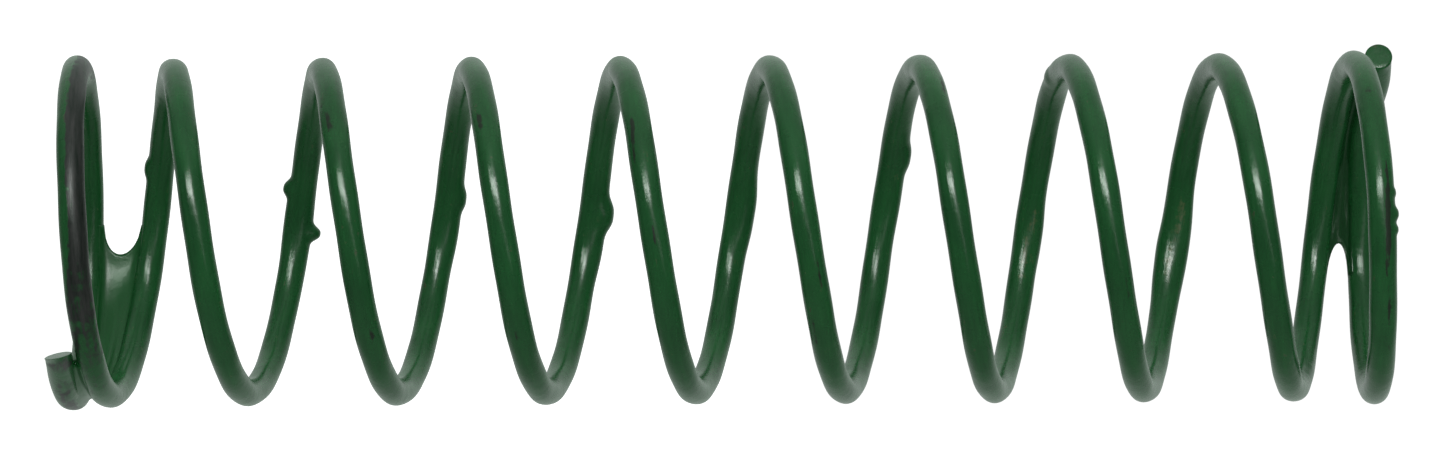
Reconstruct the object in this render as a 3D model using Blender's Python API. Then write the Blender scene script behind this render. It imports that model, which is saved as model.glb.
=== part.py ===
"""Compression coil spring: one painted round wire, right-hand wound, both end rings closed and not ground.

Metres, +Z up along the coil axis, z = 0 under the lower end ring. A place on the wire is given in
turns from its lower tip. The wire is divided into its two end coils and quarter turns of its open
coils. Each cut stands in a vertical plane through the axis, so that a piece can slide along the axis
past its neighbours. Each end also has a web of paint in the wedge where its end ring closes.
"""

import math

import bpy
import numpy as np

WIRE_D = 0.0033  # 1/8 in wire with its coat of paint
OUTER_D = 0.0413  # over the open coils
FREE_LENGTH = 0.1584
TURNS = 10.6
LOWER_TIP_AZIMUTH = math.radians(313.2)

# Turns from the tip: where the end ring starts to open, and where the wire has its full pitch.
LOWER_CLOSE = (0.17, 1.74)
UPPER_CLOSE = (0.35, 1.52)
# Each tip stands proud of its ring by a flare, which the wire loses between these turns from the tip.
LOWER_FLARE = 0.00036
LOWER_FLARE_TURNS = (0.04, 0.16)
UPPER_FLARE = 0.00098
UPPER_FLARE_TURNS = (0.03, 0.14)
# The upper ring also leans. It is nearest the open coils a little way in from the tip.
UPPER_LEAN = 0.0003
LEAN_PHASE = 0.22
# The end rings are wound a little wider than the open coils.
LOWER_SWELL = 0.00045
UPPER_SWELL = 0.00035
SWELL_TURNS = (0.75, 1.35)
LOWER_STRAIGHT = 0.0063  # the last bit of wire at each end was never bent
UPPER_STRAIGHT = 0.0070
# The lower tip is sheared off at a slant: longest on the outside of the coil.
LOWER_CUT_SLANT = math.radians(54)
LOWER_CUT_BACK = 0.0008
LOWER_CUT_REACH = 0.006

END_COIL_TURNS = 1.05
QUARTERS = 34
CUT_GAP = 0.0003

WEB_THICKNESS = 0.0004
WEB_GAP = 0.0003
LOWER_WEB = (0.080, 0.385)
UPPER_WEB = (0.160, 0.262)
WEB_NOTCH = 0.028  # turns by which the free edge dips in at half height

SIDES = 12
STEPS_PER_TURN = 32
WEB_STEPS = 10
WEB_ROWS = 5

WIRE_R = WIRE_D / 2
MEAN_R = (OUTER_D - WIRE_D) / 2
TURN_LENGTH = 2 * math.pi * MEAN_R
CLOSED_TURNS = (sum(LOWER_CLOSE) + sum(UPPER_CLOSE)) / 2
RISE = FREE_LENGTH - WIRE_D
PITCH = (RISE - LOWER_FLARE - UPPER_FLARE) / (TURNS - CLOSED_TURNS)
LOWER_BEND = LOWER_STRAIGHT / TURN_LENGTH
UPPER_BEND = TURNS - UPPER_STRAIGHT / TURN_LENGTH
UP = np.array([0.0, 0.0, 1.0])


def smooth(turns, span):
    """0 before the span, 1 after it, and an even change between."""
    x = min(max((turns - span[0]) / (span[1] - span[0]), 0), 1)
    return x * x * (3 - 2 * x)


def lift(turns, close, flare, flare_turns, lean):
    """How far the wire has left an end plane, at so many turns from that end's tip."""
    start, end = close
    x = min(max((turns - start) / (end - start), 0), 1)
    opened = (end - start) * (x**3 - x**4 / 2) + max(turns - end, 0)
    tilt = lean * math.cos(2 * math.pi * (turns - LEAN_PHASE)) * (1 - smooth(turns, (0.7, 1.2)))
    return PITCH * opened + (flare + tilt) * smooth(turns, flare_turns)


def height(t):
    if t < TURNS / 2:
        return lift(t, LOWER_CLOSE, LOWER_FLARE, LOWER_FLARE_TURNS, 0)
    return RISE - lift(TURNS - t, UPPER_CLOSE, UPPER_FLARE, UPPER_FLARE_TURNS, UPPER_LEAN)


def coil_radius(t):
    wide = LOWER_SWELL * (1 - smooth(t, SWELL_TURNS)) + UPPER_SWELL * (1 - smooth(TURNS - t, SWELL_TURNS))
    return MEAN_R + wide


def wire_centre(t):
    """The centre of the wire, and the level direction that points away from the coil there."""
    bend = min(max(t, LOWER_BEND), UPPER_BEND)
    angle = LOWER_TIP_AZIMUTH + 2 * math.pi * bend
    outward = np.array([math.cos(angle), math.sin(angle), 0.0])
    along = np.array([-math.sin(angle), math.cos(angle), 0.0])
    centre = coil_radius(t) * outward + TURN_LENGTH * (t - bend) * along
    return centre + (WIRE_R + height(t)) * UP, outward


def half_height(t):
    """Half the height of the wire's section in a vertical plane: a rising wire is cut at a slant."""
    slope = (height(t + 1e-4) - height(t - 1e-4)) / (2e-4 * TURN_LENGTH)
    return WIRE_R * math.hypot(1, slope)


def wire_loop(t):
    """The wire's section in a vertical plane, with flats all round. It leans over near the slanted tip."""
    centre, outward = wire_centre(t)
    angles = (np.arange(SIDES) + 0.5) * 2 * math.pi / SIDES
    corner = 1 / math.cos(math.pi / SIDES)
    across = corner * WIRE_R * np.cos(angles)
    upward = corner * half_height(t) * np.sin(angles)
    near_tip = max(0, 1 - t * TURN_LENGTH / LOWER_CUT_REACH)
    lean = near_tip * (LOWER_CUT_BACK - math.tan(LOWER_CUT_SLANT) * across)
    return centre + np.outer(across, outward) + np.outer(upward, UP) + np.outer(lean, np.cross(UP, outward))


def web_loop(t, tip, notch):
    """A section of the web from the wire at t to the wire one turn on, going up outside and down inside."""
    outside = []
    inside = []
    for v in np.linspace(-1, 1, WEB_ROWS):
        here = t - tip * notch * (1 - v * v)
        low, outward = wire_centre(here)
        high, _ = wire_centre(here + 1)
        bottom = low[2] + half_height(here) + WEB_GAP
        top = high[2] - half_height(here + 1) - WEB_GAP
        radius = (coil_radius(here) + coil_radius(here + 1)) / 2
        middle = radius * outward + (bottom + (top - bottom) * (v + 1) / 2) * UP
        outside.append(middle + WEB_THICKNESS / 2 * outward)
        inside.append(middle - WEB_THICKNESS / 2 * outward)
    return np.array(outside + inside[::-1])


def add_body(name, loops, colour):
    """One closed body through loops of points, in order along the wire, with both ends filled."""
    size = len(loops[0])
    last = size * (len(loops) - 1)
    faces = []
    for base in range(0, last, size):
        for j in range(size):
            k = (j + 1) % size
            faces.append((base + j, base + size + j, base + size + k, base + k))
    for j in range(size // 2 - 1):
        cap = (j, j + 1, size - 2 - j, size - 1 - j)
        faces.append(cap)
        faces.append(tuple(last + n for n in reversed(cap)))
    mesh = bpy.data.meshes.new(name)
    mesh.from_pydata(np.concatenate(loops).tolist(), [], faces)
    body = bpy.data.objects.new(name, mesh)
    bpy.context.scene.collection.objects.link(body)
    material = bpy.data.materials.new(name + "_paint")
    material.use_nodes = True
    shader = material.node_tree.nodes["Principled BSDF"]
    shader.inputs["Base Color"].default_value = (*colour, 1)
    shader.inputs["Roughness"].default_value = 0.35
    mesh.materials.append(material)


def add_wire(name, start, end, colour):
    steps = max(2, round((end - start) * STEPS_PER_TURN))
    add_body(name, [wire_loop(t) for t in np.linspace(start, end, steps + 1)], colour)


def add_web(name, closed, free, colour):
    """A web from the closed end of the wedge to its free edge, both in turns along its lower strand."""
    loops = []
    for s in np.linspace(0, 1, WEB_STEPS + 1):
        loops.append(web_loop(closed + s * (free - closed), math.copysign(s, free - closed), WEB_NOTCH))
    if free < closed:
        loops.reverse()
    add_body(name, loops, colour)


for old in list(bpy.data.objects):
    bpy.data.objects.remove(old)

END_GREEN = (0.012, 0.085, 0.030)
COIL_GREEN = (0.016, 0.105, 0.038)
WEB_GREEN = (0.008, 0.060, 0.020)

half_gap = CUT_GAP / 2 / TURN_LENGTH
first = END_COIL_TURNS
last = TURNS - END_COIL_TURNS
step = (last - first) / QUARTERS

add_wire("lower_end_coil", 0, first - half_gap, END_GREEN)
for i in range(QUARTERS):
    start = first + i * step
    name = f"turn_{i // 4 + 1}_quarter_{i % 4 + 1}"
    add_wire(name, start + half_gap, start + step - half_gap, COIL_GREEN)
add_wire("upper_end_coil", last + half_gap, TURNS, END_GREEN)

add_web("lower_coating_web", LOWER_WEB[0], LOWER_WEB[1], WEB_GREEN)
add_web("upper_coating_web", TURNS - 1 - UPPER_WEB[0], TURNS - 1 - UPPER_WEB[1], WEB_GREEN)
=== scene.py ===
import math

import bpy
import numpy as np
from mathutils import Matrix, Quaternion, Vector


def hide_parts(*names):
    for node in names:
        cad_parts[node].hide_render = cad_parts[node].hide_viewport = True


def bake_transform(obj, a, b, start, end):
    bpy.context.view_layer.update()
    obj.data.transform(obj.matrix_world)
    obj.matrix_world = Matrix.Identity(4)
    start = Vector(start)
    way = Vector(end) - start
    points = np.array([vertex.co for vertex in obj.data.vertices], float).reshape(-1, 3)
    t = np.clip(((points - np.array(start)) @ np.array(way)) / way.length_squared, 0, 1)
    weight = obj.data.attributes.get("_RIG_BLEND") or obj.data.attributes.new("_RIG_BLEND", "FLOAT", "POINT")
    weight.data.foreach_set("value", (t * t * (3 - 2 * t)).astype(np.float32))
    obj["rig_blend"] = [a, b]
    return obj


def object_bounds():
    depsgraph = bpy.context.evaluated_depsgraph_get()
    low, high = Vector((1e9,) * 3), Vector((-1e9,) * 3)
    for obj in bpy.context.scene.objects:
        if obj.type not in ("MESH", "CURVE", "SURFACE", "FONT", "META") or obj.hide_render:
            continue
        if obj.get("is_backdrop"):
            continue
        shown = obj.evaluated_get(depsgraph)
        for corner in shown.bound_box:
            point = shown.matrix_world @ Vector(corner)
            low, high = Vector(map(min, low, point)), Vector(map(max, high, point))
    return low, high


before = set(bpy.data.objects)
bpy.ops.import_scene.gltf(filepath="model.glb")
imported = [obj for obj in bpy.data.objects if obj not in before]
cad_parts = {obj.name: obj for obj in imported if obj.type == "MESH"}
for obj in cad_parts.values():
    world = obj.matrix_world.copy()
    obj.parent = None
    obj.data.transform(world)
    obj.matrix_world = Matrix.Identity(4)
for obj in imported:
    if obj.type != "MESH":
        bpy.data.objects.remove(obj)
OLD_LOW, OLD_HIGH = (list(v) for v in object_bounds())

# ---------------------------------------------------------------- the coil's own line
# Sizes are in metres, and a place on the wire is in turns from its lower tip.
WIRE_R = 0.00165
MEAN_R = 0.0190
TURNS = 10.6
BASE = OLD_LOW[2]
FREE_LENGTH = OLD_HIGH[2] - OLD_LOW[2]
TIP_AZIMUTH = math.radians(313.2)

# turns from the tip: where the end ring starts to open, and where the wire has its full pitch
LOWER_CLOSE = (0.17, 1.74)
UPPER_CLOSE = (0.35, 1.52)
# each tip stands proud of its ring by a flare, which the wire loses between these turns from the tip
LOWER_FLARE = 0.00036
LOWER_FLARE_TURNS = (0.04, 0.16)
UPPER_FLARE = 0.00098
UPPER_FLARE_TURNS = (0.03, 0.14)
# the upper ring also leans, and it is nearest the open coils a little way in from the tip
UPPER_LEAN = 0.0003
LEAN_PHASE = 0.22
LEAN_TURNS = (0.7, 1.2)
# the end rings are wound a little wider than the open coils
LOWER_SWELL = 0.00045
UPPER_SWELL = 0.00035
SWELL_TURNS = (0.75, 1.35)
# the last bit of wire at each end was never bent
LOWER_STRAIGHT = 0.0063
UPPER_STRAIGHT = 0.0070

TURN_LENGTH = 2 * math.pi * MEAN_R
RISE = FREE_LENGTH - 2 * WIRE_R
CLOSED_TURNS = (sum(LOWER_CLOSE) + sum(UPPER_CLOSE)) / 2
PITCH = (RISE - LOWER_FLARE - UPPER_FLARE) / (TURNS - CLOSED_TURNS)
LOWER_BEND = LOWER_STRAIGHT / TURN_LENGTH
UPPER_BEND = TURNS - UPPER_STRAIGHT / TURN_LENGTH
COIL_GAP = 0.0003  # left between two strands when the spring is as short as it can get
NUDGE = 1e-4  # turns to each side of a place, to find the wire's slope there
UP = np.array([0.0, 0.0, 1.0])


def smooth(turns, span):
    """0 before the span, 1 after it, and an even change between. The span's ends must differ."""
    x = np.clip((turns - span[0]) / (span[1] - span[0]), 0, 1)
    return x * x * (3 - 2 * x)


def lift(turns, close, flare, flare_turns, lean):
    """How far the wire has left an end plane, at so many turns from that end's tip."""
    start, end = close
    x = np.clip((turns - start) / (end - start), 0, 1)
    opened = (end - start) * (x**3 - x**4 / 2) + np.maximum(turns - end, 0)
    tilt = lean * np.cos(2 * np.pi * (turns - LEAN_PHASE)) * (1 - smooth(turns, LEAN_TURNS))
    return PITCH * opened + (flare + tilt) * smooth(turns, flare_turns)


def height(t):
    t = np.asarray(t, float)
    low = lift(t, LOWER_CLOSE, LOWER_FLARE, LOWER_FLARE_TURNS, 0)
    high = lift(TURNS - t, UPPER_CLOSE, UPPER_FLARE, UPPER_FLARE_TURNS, UPPER_LEAN)
    return np.where(t < TURNS / 2, low, RISE - high)


def coil_radius(t):
    t = np.asarray(t, float)
    low = LOWER_SWELL * (1 - smooth(t, SWELL_TURNS))
    high = UPPER_SWELL * (1 - smooth(TURNS - t, SWELL_TURNS))
    return MEAN_R + low + high


def closing(t):
    """How far the wire can come down at t turns, until the strands below it are COIL_GAP apart."""
    return height(t) - (2 * WIRE_R + COIL_GAP) * np.asarray(t, float)


def share(t):
    """The part of the upper end's travel that the wire makes at t turns, when the spring is compressed."""
    low, high = closing(1.0), closing(TURNS - 1)
    return np.clip((closing(t) - low) / (high - low), 0, 1)


def wire_frames(t):
    """Centre, outward, up-going and forward directions of the wire, one row for each t."""
    t = np.asarray(t, float)
    bend = np.clip(t, LOWER_BEND, UPPER_BEND)
    angle = TIP_AZIMUTH + 2 * np.pi * bend
    zero = np.zeros_like(t)
    outward = np.stack([np.cos(angle), np.sin(angle), zero], -1)
    along = np.stack([-np.sin(angle), np.cos(angle), zero], -1)
    centre = coil_radius(t)[..., None] * outward + (TURN_LENGTH * (t - bend))[..., None] * along
    centre = centre + (BASE + WIRE_R + height(t))[..., None] * UP
    rise = height(t + NUDGE) - height(t - NUDGE)
    slope = (rise / (2 * NUDGE * TURN_LENGTH))[..., None]
    size = np.sqrt(1 + slope**2)
    return centre, outward, (UP - slope * along) / size, (along + slope * UP) / size


def bump(x, centre, width):
    return np.exp(-(((x - centre) / width) ** 2))


def wrapped(angle):
    return (angle + np.pi) % (2 * np.pi) - np.pi


# ---------------------------------------------------------------- drips of paint
# The places of drips and marks are in turns too, counted so that a whole number is at the back of the
# coil and a half at its front. The lower tip is at PHASE.
PHASE = 0.62

# place, side (-1 faces the lower end, 1 the upper end), height, length along the wire and width round it
DRIPS = [
    (2.066, -1, 0.00042, 0.0012, 0.0011),
    (3.043, -1, 0.00070, 0.0010, 0.0010),
    (3.010, -1, 0.00020, 0.0050, 0.0016),
    (3.001, 1, 0.00105, 0.0009, 0.0009),
    (2.985, 1, 0.00010, 0.0040, 0.0016),
    (4.035, 1, 0.00045, 0.0014, 0.0014),
    (4.010, 1, 0.00020, 0.0050, 0.0016),
    (5.018, 1, 0.00080, 0.0019, 0.0015),
    (4.995, 1, 0.00030, 0.0050, 0.0018),
    (6.016, 1, 0.00042, 0.0040, 0.0017),
    (7.078, 1, 0.00042, 0.0018, 0.0016),
    (7.050, 1, 0.00015, 0.0055, 0.0018),
    (7.990, 1, 0.00020, 0.0035, 0.0017),
    (8.200, -1, 0.00020, 0.0012, 0.0012),
    (8.985, 1, 0.00042, 0.0060, 0.0019),
    (8.963, -1, 0.00030, 0.0040, 0.0019),
    # flakes of paint on the edge of the upper end ring
    (10.468, 1, 0.00018, 0.0005, 0.0010),
    (10.488, 1, 0.00034, 0.0007, 0.0010),
    (10.503, 1, 0.00022, 0.0005, 0.0010),
]
DRIP_POWER = 1.5  # more than 1 gives a drip a rounder top and a sharper foot than a bell curve
RIPPLE = 0.000025  # the coat is a little uneven everywhere


def raised(t, around):
    """How far the paint stands off the plain round wire: two unlike waves all over it, and the drips."""
    slow = np.sin(37 * t + 1.3 * np.sin(around))
    quick = np.sin(83 * t + 2 * around + 1)
    total = RIPPLE * (slow + quick)
    for place, side, rise, length, width in DRIPS:
        along = (t - place + PHASE) * TURN_LENGTH / length
        across = wrapped(around - side * np.pi / 2) * WIRE_R / width
        total = total + rise * np.exp(-((along**2 + across**2) ** DRIP_POWER))
    return total


# ---------------------------------------------------------------- meshes
MARKS = ("place", "side", "bare", "scuff", "chalk_and_highlight")  # what the paint reads from each point of a mesh


def add_mesh(name, points, quads, tris=()):
    faces = [[int(corner) for corner in quad] for quad in quads] + list(tris)
    mesh = bpy.data.meshes.new(name)
    mesh.from_pydata(np.asarray(points, float).tolist(), [], faces)
    mesh.polygons.foreach_set("use_smooth", [True] * len(mesh.polygons))
    mesh.update()
    obj = bpy.data.objects.new(name, mesh)
    bpy.context.scene.collection.objects.link(obj)
    return obj


def give(obj, name, values):
    """Stores one number for each point of the mesh, for the material to read."""
    layer = obj.data.attributes.new(name, "FLOAT", "POINT")
    layer.data.foreach_set("value", np.asarray(values, np.float32).ravel())


def carry(obj, weights):
    """The piece is shared by both ends: each point makes its own part of the upper end's travel."""
    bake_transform(obj, "lower_end", "upper_end", (0, 0, BASE), (0, 0, BASE + FREE_LENGTH))
    layer = obj.data.attributes["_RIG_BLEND"]
    layer.data.foreach_set("value", np.asarray(weights, np.float32).ravel())


# ---------------------------------------------------------------- the wire
SIDES = 36
STATION_STEP = 1 / 110  # turns between two rings of the plain wire
SHORTEST_DRIP = 0.0009  # a shorter drip gets no finer rings than this one
DRIP_REACH = 2.6  # lengths of a drip to each side that get its finer rings
RINGS_PER_DRIP_LENGTH = 5
RIPPLE_ROOM = 0.00003  # taken off the plain wire, so that its ripples add little to its diameter

# Both tips are cut at a slant. Each cut has a normal, and the rings within its reach lean towards it.
LOWER_CUT = np.array([-0.97, -0.115, -0.21])
UPPER_CUT = np.array([-0.40, -0.917, 0.0])
LOWER_CUT_BACK = 0.0002
LOWER_CUT_REACH = 0.0060
UPPER_CUT_REACH = 0.0045


def wire_stations():
    """Places along the wire for its rings, closer together at a drip."""
    places = [0.0]
    fine = []
    for place, _, _, length, _ in DRIPS:
        fine.append((place - PHASE, max(length, SHORTEST_DRIP) / TURN_LENGTH))
    while places[-1] < TURNS:
        t = places[-1]
        step = STATION_STEP
        for middle, length in fine:
            if abs(t - middle) < DRIP_REACH * length:
                step = min(step, length / RINGS_PER_DRIP_LENGTH)
        places.append(t + step)
    places = np.array(places)
    return places * TURNS / places[-1]


def tube_quads(rings, sides):
    i, j = np.meshgrid(np.arange(rings - 1), np.arange(sides), indexing="ij")
    k = (j + 1) % sides
    quads = np.stack([i * sides + j, (i + 1) * sides + j, (i + 1) * sides + k, i * sides + k], -1)
    return quads.reshape(-1, 4)


# T and A hold the place and the angle round the wire of every point of its rings
stations = wire_stations()
T, A = np.meshgrid(stations, np.arange(SIDES) * 2 * np.pi / SIDES, indexing="ij")
centre, outward, upward, forward = wire_frames(stations)
radius = WIRE_R - RIPPLE_ROOM + raised(T, A)
ring = np.cos(A)[..., None] * outward[:, None] + np.sin(A)[..., None] * upward[:, None]
points = centre[:, None] + radius[..., None] * ring

slant_low = -(ring @ LOWER_CUT) / (forward[0] @ LOWER_CUT)
slant_high = -(ring @ UPPER_CUT) / (forward[-1] @ UPPER_CUT)
fade_low = np.clip(1 - T * TURN_LENGTH / LOWER_CUT_REACH, 0, 1)
fade_high = np.clip(1 - (TURNS - T) * TURN_LENGTH / UPPER_CUT_REACH, 0, 1)
lean = (LOWER_CUT_BACK + radius * slant_low) * fade_low + radius * slant_high * fade_high
points = points + lean[..., None] * forward[:, None]
points = points.reshape(-1, 3)

LOWER_CORNER = 0.00015  # the lower tip's edge is sharper than the upper tip's
UPPER_CORNER = 0.00025
CORNER_TURNS = np.radians([18, 38, 62, 90])  # from the side of the wire round to its cut face
FACE_RINGS = (0.7, 0.35)  # parts of the flat face's radius
CAP_RINGS = len(CORNER_TURNS) + len(FACE_RINGS)


def cap(end, sign, corner, back, slant):
    """The points of a cut end: rings round its edge and across its flat face, and the middle point."""
    flat = WIRE_R - corner
    made = [(flat + corner * math.cos(turn_in), corner * math.sin(turn_in)) for turn_in in CORNER_TURNS]
    made += [(flat * part, corner) for part in FACE_RINGS]
    rings = []
    for r, out in made:
        over = back + r * slant
        rings.append(centre[end] + (sign * out + over)[:, None] * forward[end] + r * ring[end])
    rings.append((centre[end] + (sign * corner + back) * forward[end])[None])
    return np.concatenate(rings)


def cap_faces(edge, first, flip):
    """Joins a ring's points to the cap's rings, and the last ring to the cap's middle point."""
    quads, tris = [], []
    rows = [edge] + [first + n * SIDES for n in range(CAP_RINGS)]
    for a, b in zip(rows, rows[1:]):
        for j in range(SIDES):
            k = (j + 1) % SIDES
            quad = (a + j, b + j, b + k, a + k)
            quads.append(quad[::-1] if flip else quad)
    for j in range(SIDES):
        tri = (rows[-1] + j, first + CAP_RINGS * SIDES, rows[-1] + (j + 1) % SIDES)
        tris.append(tri[::-1] if flip else tri)
    return quads, tris


low_cap = cap(0, -1, LOWER_CORNER, LOWER_CUT_BACK, slant_low[0])
high_cap = cap(-1, 1, UPPER_CORNER, 0, slant_high[-1])
count = len(points)
low_quads, low_tris = cap_faces(0, count, True)
high_quads, high_tris = cap_faces(count - SIDES, count + len(low_cap), False)
points = np.concatenate([points, low_cap, high_cap])
quads = list(tube_quads(len(stations), SIDES)) + low_quads + high_quads
wire = add_mesh("spring_wire", points, quads, low_tris + high_tris)


def with_caps(values):
    """A value for each point of the wire: a cap takes the mean of the ring beside it."""
    low = np.full(len(low_cap), values[0].mean())
    high = np.full(len(high_cap), values[-1].mean())
    return np.concatenate([values.ravel(), low, high])


# ---------------------------------------------------------------- where the paint is worn
U = T + PHASE
SIDE = np.degrees(wrapped(A))  # 0 faces out of the coil, 90 the upper end

# The band rubbed bare runs along the front of the lower end ring: (place, side where it starts), and
# (place, how much of its paint is gone), because it is patchy at both its ends.
BAND_EDGE = [
    (1.15, 40), (1.25, 8), (1.33, -6), (1.39, -13),
    (1.43, -18), (1.50, -14), (1.53, -30), (1.57, -75),
]
BAND_WEAR = [
    (1.17, 0), (1.22, 0.6), (1.30, 0.8), (1.38, 1), (1.50, 1),
    (1.54, 0.75), (1.58, 0.6), (1.64, 0.35), (1.74, 0),
]
BAND_SOFTNESS = 3.5  # degrees
BAND_BACK = 125  # the side where it ends

# Spots on the lower tip in the bare steel's colour. The broad second one makes the tip's lower part darker
# and greyer.
# place, side in degrees, length in turns, width in degrees and strength
TIP_SPOTS = [
    (0.630, 10, 0.009, 80, 0.85),
    (0.705, 5, 0.055, 50, 0.72),
    (0.700, 26, 0.045, 10, 0.8),
    (0.715, -22, 0.030, 8, 0.5),
]
# dark scuffs, where the wire rubbed on something
SCUFFS = [
    (3.392, -22, 0.012, 15, 1.0),
    (3.368, -48, 0.012, 10, 0.6),
    (3.599, 23, 0.013, 12, 0.8),
    (4.393, -28, 0.011, 13, 1.0),
    (4.598, -5, 0.012, 12, 0.8),
    (5.398, -26, 0.014, 11, 1.0),
    (5.425, -36, 0.020, 10, 0.9),
    (5.505, 2, 0.012, 9, 1.0),
    (6.536, 26, 0.014, 9, 0.8),
    (6.600, -30, 0.020, 10, 0.6),
    (7.345, 40, 0.016, 14, 0.8),
    (8.560, 30, 0.020, 9, 0.6),
    (10.364, -10, 0.007, 28, 0.9),
    (10.465, 31, 0.024, 10, 1.1),
    (10.500, 22, 0.024, 12, 1.2),
    (10.532, 13, 0.014, 8, 0.9),
    (10.572, 24, 0.020, 6, 1.2),
    (10.610, 25, 0.018, 5, 1.2),
]
# pale mottled marks on the inside of the coil, partly a chalky deposit and partly a painted highlight where
# the back strands catch the light
CHALK_AND_HIGHLIGHT_MARKS = [
    (8.010, 162, 0.018, 15, 0.85),
    (7.972, 176, 0.028, 14, 0.85),
    (9.010, 172, 0.030, 22, 0.75),
    (8.955, 186, 0.022, 14, 0.85),
    (7.060, 155, 0.006, 12, 0.6),
    (5.965, 170, 0.014, 14, 0.5),
]


def patch(place, side, length, width, strength):
    """A soft spot on the wire, from a row of the lists above."""
    across = wrapped(A - math.radians(side)) / math.radians(width)
    return strength * np.exp(-(((U - place) / length) ** 4) - across**2)


band_edge = np.interp(U, *zip(*BAND_EDGE))
band_wear = np.interp(U, *zip(*BAND_WEAR))
bare = band_wear / (1 + np.exp((band_edge - SIDE) / BAND_SOFTNESS)) * (SIDE < BAND_BACK)
for spot in TIP_SPOTS:
    bare = np.maximum(bare, patch(*spot))
scuff = sum(patch(*mark) for mark in SCUFFS)
chalk_and_highlight = sum(patch(*mark) for mark in CHALK_AND_HIGHLIGHT_MARKS)

wear = (np.clip(amount, 0, 1) for amount in (bare, scuff, chalk_and_highlight))
for mark, values in zip(MARKS, (U * TURN_LENGTH, wrapped(A) * WIRE_R, *wear)):
    give(wire, mark, with_caps(values))
carry(wire, with_caps(share(T)))

# ---------------------------------------------------------------- webs of paint
WEB_STEPS = 72  # from the closed end, near the tip, to the free edge
WEB_ROWS = 40  # from the strand at t to the strand one turn on
WEB_HALF = 0.00022  # half the thickness of the skin
NARROWEST = 2.2 * WIRE_R  # strands closer than this are taken to be this far apart
CLOSED_DIP = 0.0045  # turns by which the closed end is rounded
RIM = 0.00006  # the bead along the free edge, on each side
RIM_SPAN = (0.93, 0.99)
FILLET = 0.0009  # added to each side of the skin where it runs on to a strand
FILLET_START = 0.72  # wire radii from the strand's centre
FILLET_FADE = 0.0005


def web_quads(turned_round):
    """The faces of two skins, one behind the other, and of the strips that join them all round."""
    row = WEB_ROWS + 1
    n = (WEB_STEPS + 1) * row
    quads = []
    for i in range(WEB_STEPS):
        for j in range(WEB_ROWS):
            a = i * row + j
            quads.append((a, a + row, a + row + 1, a + 1))
            quads.append((n + a + 1, n + a + row + 1, n + a + row, n + a))
        a = i * row
        quads.append((a, a + n, a + n + row, a + row))
        a = a + WEB_ROWS
        quads.append((a + row, a + n + row, a + n, a))
    for j in range(WEB_ROWS):
        quads.append((j, j + 1, j + 1 + n, j + n))
        a = WEB_STEPS * row + j
        quads.append((a + n, a + 1 + n, a + 1, a))
    if turned_round:
        quads = [quad[::-1] for quad in quads]
    return quads


def web(name, start, end, dip, ridges, bow, bow_span, bow_fades):
    """A skin between the strand at t and the strand one turn on.

    It goes from start to end, in turns. Its free edge, at end, is half-round and dips in by dip turns.
    A ridge is its middle and width, from -1 at the lower strand to 1 at the upper one, and its height.
    The bow is how far the skin hangs into the coil. It grows over bow_span, and it may fade after it.
    """
    across = np.sin(np.linspace(-np.pi / 2, np.pi / 2, WEB_ROWS + 1))
    S, V = np.meshgrid(np.linspace(0, 1, WEB_STEPS + 1), across, indexing="ij")
    here = start + S * (end - start)
    open_part = 1 - 2 * WIRE_R / np.maximum(height(here + 1) - height(here), NARROWEST)
    round_edge = np.sqrt(np.clip(1 - (V / open_part) ** 2, 0, 1))
    here = here + np.sign(end - start) * (CLOSED_DIP * (1 - S) ** 12 - dip * S**4) * round_edge

    low, low_out, _, _ = wire_frames(here)
    high, high_out, _, _ = wire_frames(here + 1)
    reach = (V + 1) / 2
    middle = low + (high - low) * reach[..., None]
    out = low_out + (high_out - low_out) * reach[..., None]

    ridge_part = smooth(S, (0, 0.3)) * (1 - smooth(S, (0.5, 1)))
    crease = sum(rise * bump(V, place, width) * ridge_part for place, width, rise in ridges)
    bowed = bow * smooth(S, bow_span)
    if bow_fades:
        bowed = bowed * (1 - smooth(S, (bow_span[1], 1)))
    crease = crease - bowed * round_edge

    from_strand = (high[..., 2] - low[..., 2]) / 2 * (1 - np.abs(V))
    past_start = np.maximum(from_strand - WIRE_R * FILLET_START, 0)
    rim = RIM * smooth(S, RIM_SPAN) * round_edge
    thick = WEB_HALF + rim + FILLET * np.exp(-past_start / FILLET_FADE)
    skins = [(middle + (side * thick + crease)[..., None] * out).reshape(-1, 3) for side in (1, -1)]
    obj = add_mesh(name, np.concatenate(skins), web_quads(end < start))

    for mark in MARKS:
        give(obj, mark, np.zeros(len(obj.data.vertices)))
    part = share(here) + (share(here + 1) - share(here)) * reach
    carry(obj, np.concatenate([part.ravel(), part.ravel()]))
    return obj


lower_web = web(
    "lower_paint_web",
    start=0.017,
    end=0.388,
    dip=0.030,
    ridges=[(0.30, 0.16, -0.00030), (-0.45, 0.14, 0.00010)],
    bow=0.0001,
    bow_span=(0.72, 1.0),
    bow_fades=False,
)
upper_web = web(
    "upper_paint_web",
    start=TURNS - 1.03,
    end=TURNS - 1.270,
    dip=0.034,
    ridges=[(0.0, 0.45, 0.00022)],
    bow=0.0005,
    bow_span=(0.46, 0.72),
    bow_fades=True,
)


# ---------------------------------------------------------------- node helpers
def feed(tree, socket, value):
    """Sets a socket to a number or a colour, or links another node's output to it."""
    if isinstance(value, (int, float)):
        socket.default_value = value
    elif isinstance(value, tuple):
        socket.default_value = (*value, 1)
    else:
        tree.links.new(value, socket)


def number(tree, operation, *values, clamp=False):
    made = tree.nodes.new("ShaderNodeMath")
    made.operation = operation
    made.use_clamp = clamp
    for socket, value in zip(made.inputs, values):
        feed(tree, socket, value)
    return made.outputs[0]


def noise(tree, vector, scale, detail, rough=0.5):
    made = tree.nodes.new("ShaderNodeTexNoise")
    made.inputs["Scale"].default_value = scale
    made.inputs["Detail"].default_value = detail
    made.inputs["Roughness"].default_value = rough
    tree.links.new(vector, made.inputs["Vector"])
    return made.outputs["Fac"]


def contrast(tree, value, gain, offset):
    return number(tree, "MULTIPLY_ADD", value, gain, offset, clamp=True)


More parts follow.
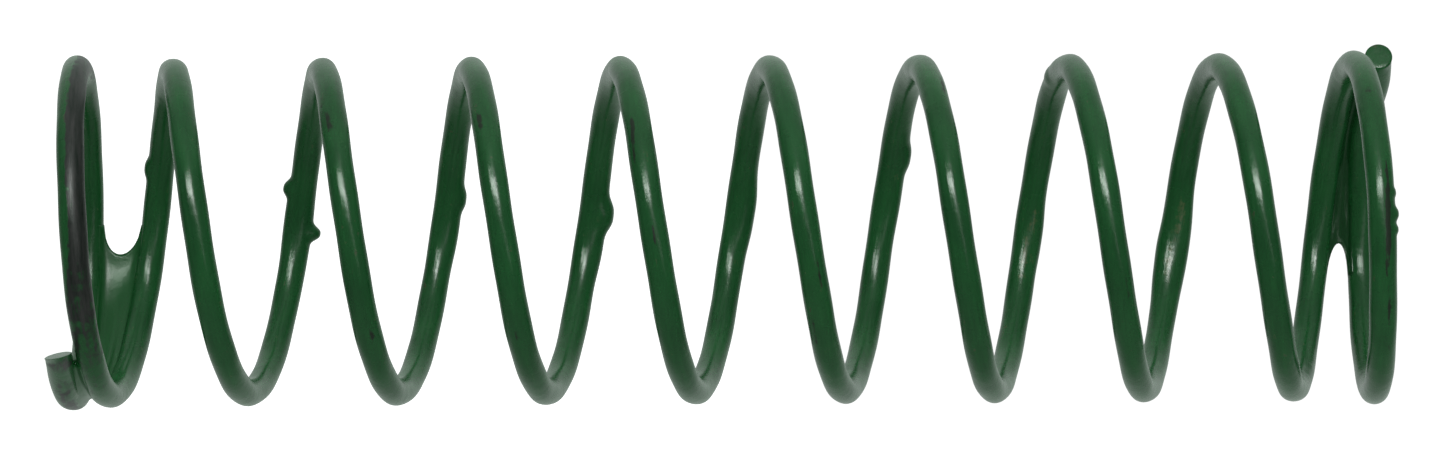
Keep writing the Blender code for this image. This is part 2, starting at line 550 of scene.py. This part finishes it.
def blend_colour(tree, factor, a, b):
    made = tree.nodes.new("ShaderNodeMix")
    made.data_type = "RGBA"
    for socket, value in ((made.inputs[0], factor), (made.inputs[6], a), (made.inputs[7], b)):
        feed(tree, socket, value)
    return made.outputs[2]


def blend_number(tree, factor, a, b):
    made = tree.nodes.new("ShaderNodeMix")
    for socket, value in ((made.inputs[0], factor), (made.inputs[2], a), (made.inputs[3], b)):
        feed(tree, socket, value)
    return made.outputs[0]


def attribute(tree, name):
    made = tree.nodes.new("ShaderNodeAttribute")
    made.attribute_name = name
    return made.outputs["Fac"]


# ---------------------------------------------------------------- the paint
GREEN = (0.022, 0.178, 0.046)
DEEP_GREEN = (0.012, 0.110, 0.029)
LOWER_WEB_GREEN = (0.018, 0.165, 0.040)
LOWER_WEB_DEEP = (0.012, 0.120, 0.028)
# the upper web's greens are darker than the wire's: painted shade for the hollow between the upper strands
UPPER_WEB_SHADED_GREEN = (0.013, 0.110, 0.028)
UPPER_WEB_SHADED_DEEP = (0.009, 0.070, 0.018)
STEEL_DARK = (0.010, 0.022, 0.015)
STEEL_PALE = (0.085, 0.082, 0.082)
# the pale tan of the chalky marks, which partly stand in for a painted highlight
CHALK_AND_HIGHLIGHT_COLOUR = (0.150, 0.200, 0.085)
SCUFF_COLOUR = (0.018, 0.018, 0.015)
BRUSHED_SQUEEZE = 7.0  # the brushed streaks are this many times longer than wide
CHALK_AND_HIGHLIGHT_STRENGTH = 0.75
SCUFF_STRENGTH = 0.85
STEEL_METALLIC = 0.50
WORN_ROUGHNESS = 0.42
GLOSS_VARIATION = 0.14
RELIEF_STRENGTH = 0.17
RELIEF_DEPTH = 0.00025
FINE_RELIEF = 0.22  # parts of RELIEF_DEPTH
WORN_RELIEF = 0.15
PAINT_IOR = 1.42


def paint(name, base, deep, gloss_from):
    """The green coat, with its wear, and pale marks that are partly a painted highlight. gloss_from is its
    least roughness.
    """
    material = bpy.data.materials.new(name)
    material.use_nodes = True
    tree = material.node_tree
    shader = tree.nodes["Principled BSDF"]
    coords = tree.nodes.new("ShaderNodeTexCoord").outputs["Object"]

    # streaks that run along the wire, and clouds of the deeper green
    along = tree.nodes.new("ShaderNodeCombineXYZ")
    squeezed = number(tree, "MULTIPLY", attribute(tree, "side"), BRUSHED_SQUEEZE)
    tree.links.new(attribute(tree, "place"), along.inputs[0])
    tree.links.new(squeezed, along.inputs[1])
    brushed = noise(tree, along.outputs[0], scale=190, detail=4, rough=0.65)
    cloudy = number(tree, "ADD", noise(tree, coords, scale=130, detail=3), brushed)
    cloudy = contrast(tree, cloudy, gain=1.5, offset=-1.0)
    colour = blend_colour(tree, cloudy, deep, base)

    ragged = noise(tree, coords, scale=900, detail=4, rough=0.6)
    ragged = number(tree, "SUBTRACT", ragged, 0.5)
    streaked = number(tree, "SUBTRACT", brushed, 0.5)

    def ragged_mask(mark, depth, cut, steepness):
        """A mark's soft shape from the mesh, with its edge broken up."""
        shape = number(tree, "ADD", attribute(tree, mark), number(tree, "MULTIPLY", ragged, depth))
        shape = number(tree, "ADD", shape, number(tree, "MULTIPLY", streaked, depth))
        return number(tree, "MULTIPLY", number(tree, "SUBTRACT", shape, cut), steepness, clamp=True)

    worn = ragged_mask("bare", depth=1.3, cut=0.30, steepness=2.6)
    scuffed = ragged_mask("scuff", depth=1.4, cut=0.42, steepness=3.5)
    # the pale chalky marks, partly a painted highlight on the inner side of the back strands
    chalk_and_highlight_mask = ragged_mask("chalk_and_highlight", depth=2.4, cut=0.50, steepness=2.4)

    mottled = contrast(tree, brushed, gain=2.2, offset=-0.6)
    metal = blend_colour(tree, mottled, STEEL_DARK, STEEL_PALE)
    chalk_and_highlight_mask = number(tree, "MULTIPLY", chalk_and_highlight_mask, CHALK_AND_HIGHLIGHT_STRENGTH)
    colour = blend_colour(tree, chalk_and_highlight_mask, colour, CHALK_AND_HIGHLIGHT_COLOUR)
    colour = blend_colour(tree, worn, colour, metal)
    darkened = number(tree, "MULTIPLY", scuffed, SCUFF_STRENGTH)
    colour = blend_colour(tree, darkened, colour, SCUFF_COLOUR)
    tree.links.new(colour, shader.inputs["Base Color"])
    metallic = number(tree, "MULTIPLY", worn, STEEL_METALLIC)
    tree.links.new(metallic, shader.inputs["Metallic"])

    smears = noise(tree, coords, scale=400, detail=3)
    rough = number(tree, "MULTIPLY_ADD", smears, GLOSS_VARIATION, gloss_from)
    rough = blend_number(tree, number(tree, "MAXIMUM", worn, scuffed), rough, WORN_ROUGHNESS)
    tree.links.new(rough, shader.inputs["Roughness"])

    # an orange-peel surface, lower where the paint is gone
    fine = number(tree, "MULTIPLY", noise(tree, coords, scale=2600, detail=2), FINE_RELIEF)
    surface = number(tree, "ADD", noise(tree, coords, scale=620, detail=2, rough=0.4), fine)
    surface = number(tree, "SUBTRACT", surface, number(tree, "MULTIPLY", worn, WORN_RELIEF))
    relief = tree.nodes.new("ShaderNodeBump")
    relief.inputs["Strength"].default_value = RELIEF_STRENGTH
    relief.inputs["Distance"].default_value = RELIEF_DEPTH
    tree.links.new(surface, relief.inputs["Height"])
    tree.links.new(relief.outputs["Normal"], shader.inputs["Normal"])
    shader.inputs["IOR"].default_value = PAINT_IOR
    return material


spring_paint = paint("spring_paint", GREEN, DEEP_GREEN, gloss_from=0.20)
lower_web_paint = paint("lower_web_paint", LOWER_WEB_GREEN, LOWER_WEB_DEEP, gloss_from=0.25)
# the upper web's paint is a darker copy of the green: painted shade in the hollow between the strands
upper_web_shaded_paint = paint("upper_web_shaded_paint", UPPER_WEB_SHADED_GREEN, UPPER_WEB_SHADED_DEEP, gloss_from=0.17)
wire.data.materials.append(spring_paint)
lower_web.data.materials.append(lower_web_paint)
upper_web.data.materials.append(upper_web_shaded_paint)

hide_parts(*[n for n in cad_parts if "web" not in n])
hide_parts("lower_coating_web")
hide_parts("upper_coating_web")

# ---------------------------------------------------------------- the floor
FLOOR_RADIUS = 5.0
FLOOR_DROP = 0.0002  # below the spring, so that the two don't share a plane
FLOOR_GREY = 0.85

floor_place = (0, 0, BASE - FLOOR_DROP)
bpy.ops.mesh.primitive_circle_add(
    vertices=96, radius=FLOOR_RADIUS, fill_type="NGON", location=floor_place
)
floor = bpy.context.object
floor.name = "floor"
floor_paint = bpy.data.materials.new("floor_white")
floor_paint.use_nodes = True
floor_shader = floor_paint.node_tree.nodes["Principled BSDF"]
floor_shader.inputs["Base Color"].default_value = (FLOOR_GREY, FLOOR_GREY, FLOOR_GREY, 1)
floor_shader.inputs["Roughness"].default_value = 1.0
floor_shader.inputs["Specular IOR Level"].default_value = 0.0
floor_shader.inputs["Emission Color"].default_value = (1, 1, 1, 1)
floor_shader.inputs["Emission Strength"].default_value = 1.0
floor.data.materials.append(floor_paint)
floor.visible_glossy = False
floor.visible_diffuse = False
floor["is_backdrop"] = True

# ---------------------------------------------------------------- lamps
MIDDLE = Vector((0, 0, BASE + 0.0789))  # what the lamps and the camera are aimed at


def seen(right, away, up):
    """A direction as the camera sees it. The photograph's right is +Z here, and its up is -X."""
    return (-up, away, right)


def softbox(name, direction, distance, down, across, power, spin=0.0):
    """An area light. Its sides are down and across, as the camera sees them, and spin is in degrees."""
    lamp = bpy.data.lights.new(name, "AREA")
    lamp.shape = "RECTANGLE"
    lamp.size = down
    lamp.size_y = across
    lamp.energy = power
    obj = bpy.data.objects.new(name, lamp)
    bpy.context.scene.collection.objects.link(obj)
    way = Vector(direction).normalized()
    obj.location = MIDDLE + way * distance
    obj.rotation_mode = "QUATERNION"
    obj.rotation_quaternion = way.to_track_quat("Z", "Y") @ Quaternion((0, 0, 1), math.radians(spin))
    return obj


softbox("key_light", seen(-0.25, -1.0, 0.53), distance=2.2, down=0.40, across=1.5, power=22)
gloss = softbox("window_light", seen(-0.16, -1.0, 0.53), distance=2.2, down=0.40, across=1.6, power=50)
gloss.visible_diffuse = False  # it brightens the highlights and nothing else
softbox("strip_light", seen(0.40, -1.0, 0.05), distance=2.4, down=2.0, across=0.32, power=3.5, spin=46)

# ---------------------------------------------------------------- the room's own light
ROOM_LEVEL = 0.20
ROOM_TINT = (0.90, 1, 0.94, 1)
BACKDROP_LEVEL = 1.05  # what the camera sees behind the spring, which lights nothing

world = bpy.data.worlds.new("studio")
bpy.context.scene.world = world
world.use_nodes = True
sky = world.node_tree
sky.nodes.clear()
way = sky.nodes.new("ShaderNodeTexCoord").outputs["Generated"]
split = sky.nodes.new("ShaderNodeSeparateXYZ")
sky.links.new(way, split.inputs[0])


def glow(axis, sign, start, end, amount):
    """Light from one side of the room: none before start along the axis, and all of it past end."""
    ramp = sky.nodes.new("ShaderNodeMapRange")
    ramp.interpolation_type = "SMOOTHSTEP"
    ramp.inputs["From Min"].default_value = start
    ramp.inputs["From Max"].default_value = end
    ramp.inputs["To Max"].default_value = amount
    sky.links.new(number(sky, "MULTIPLY", split.outputs[axis], sign), ramp.inputs["Value"])
    return ramp.outputs[0]


level = number(sky, "ADD", glow("X", -1.0, start=0.35, end=0.9, amount=0.37), ROOM_LEVEL)
level = number(sky, "ADD", glow("X", 1.0, start=0.35, end=0.9, amount=0.15), level)
level = number(sky, "ADD", glow("Y", 1.0, start=0.2, end=0.9, amount=0.47), level)
light = sky.nodes.new("ShaderNodeBackground")
light.inputs["Color"].default_value = ROOM_TINT
sky.links.new(level, light.inputs["Strength"])
plain = sky.nodes.new("ShaderNodeBackground")
plain.inputs["Color"].default_value = (1, 1, 1, 1)
plain.inputs["Strength"].default_value = BACKDROP_LEVEL
seen_directly = sky.nodes.new("ShaderNodeLightPath").outputs["Is Camera Ray"]
mix = sky.nodes.new("ShaderNodeMixShader")
sky.links.new(seen_directly, mix.inputs[0])
sky.links.new(light.outputs[0], mix.inputs[1])
sky.links.new(plain.outputs[0], mix.inputs[2])
world_output = sky.nodes.new("ShaderNodeOutputWorld")
sky.links.new(mix.outputs[0], world_output.inputs[0])

bpy.context.scene.view_settings.view_transform = "Standard"

# ---------------------------------------------------------------- camera
DISTANCE = 0.905
LENS = 190.65
SENSOR_WIDTH = 36
FRAME_SHIFT = 0.00134256  # how far up the view is shifted, as a part of its width
CLIP_NEAR, CLIP_FAR = 0.05, 50
YAW, PITCH_DOWN, ROLL = -0.01897, -0.001, 0.00451


def turned(a, i, j):
    """A turn by the angle a in the plane of the axes i and j."""
    m = np.eye(3)
    m[i, i] = m[j, j] = math.cos(a)
    m[i, j] = -math.sin(a)
    m[j, i] = math.sin(a)
    return m


photo_axes = np.array([seen(1, 0, 0), seen(0, 1, 0), seen(0, 0, 1)], float)
looking = turned(ROLL, 0, 2) @ turned(PITCH_DOWN, 1, 2) @ turned(YAW, 0, 1) @ photo_axes
right, away, up = looking
place = -DISTANCE * away + np.array(MIDDLE)
columns = np.stack([right, up, -away], 1)
camera_data = bpy.data.cameras.new("camera")
camera = bpy.data.objects.new("camera", camera_data)
bpy.context.scene.collection.objects.link(camera)
camera.matrix_world = Matrix([[*columns[n], place[n]] for n in range(3)] + [[0, 0, 0, 1]])
camera_data.sensor_width = SENSOR_WIDTH
camera_data.lens = LENS
camera_data.shift_y = FRAME_SHIFT
camera_data.clip_start = CLIP_NEAR
camera_data.clip_end = CLIP_FAR
bpy.context.scene.camera = camera
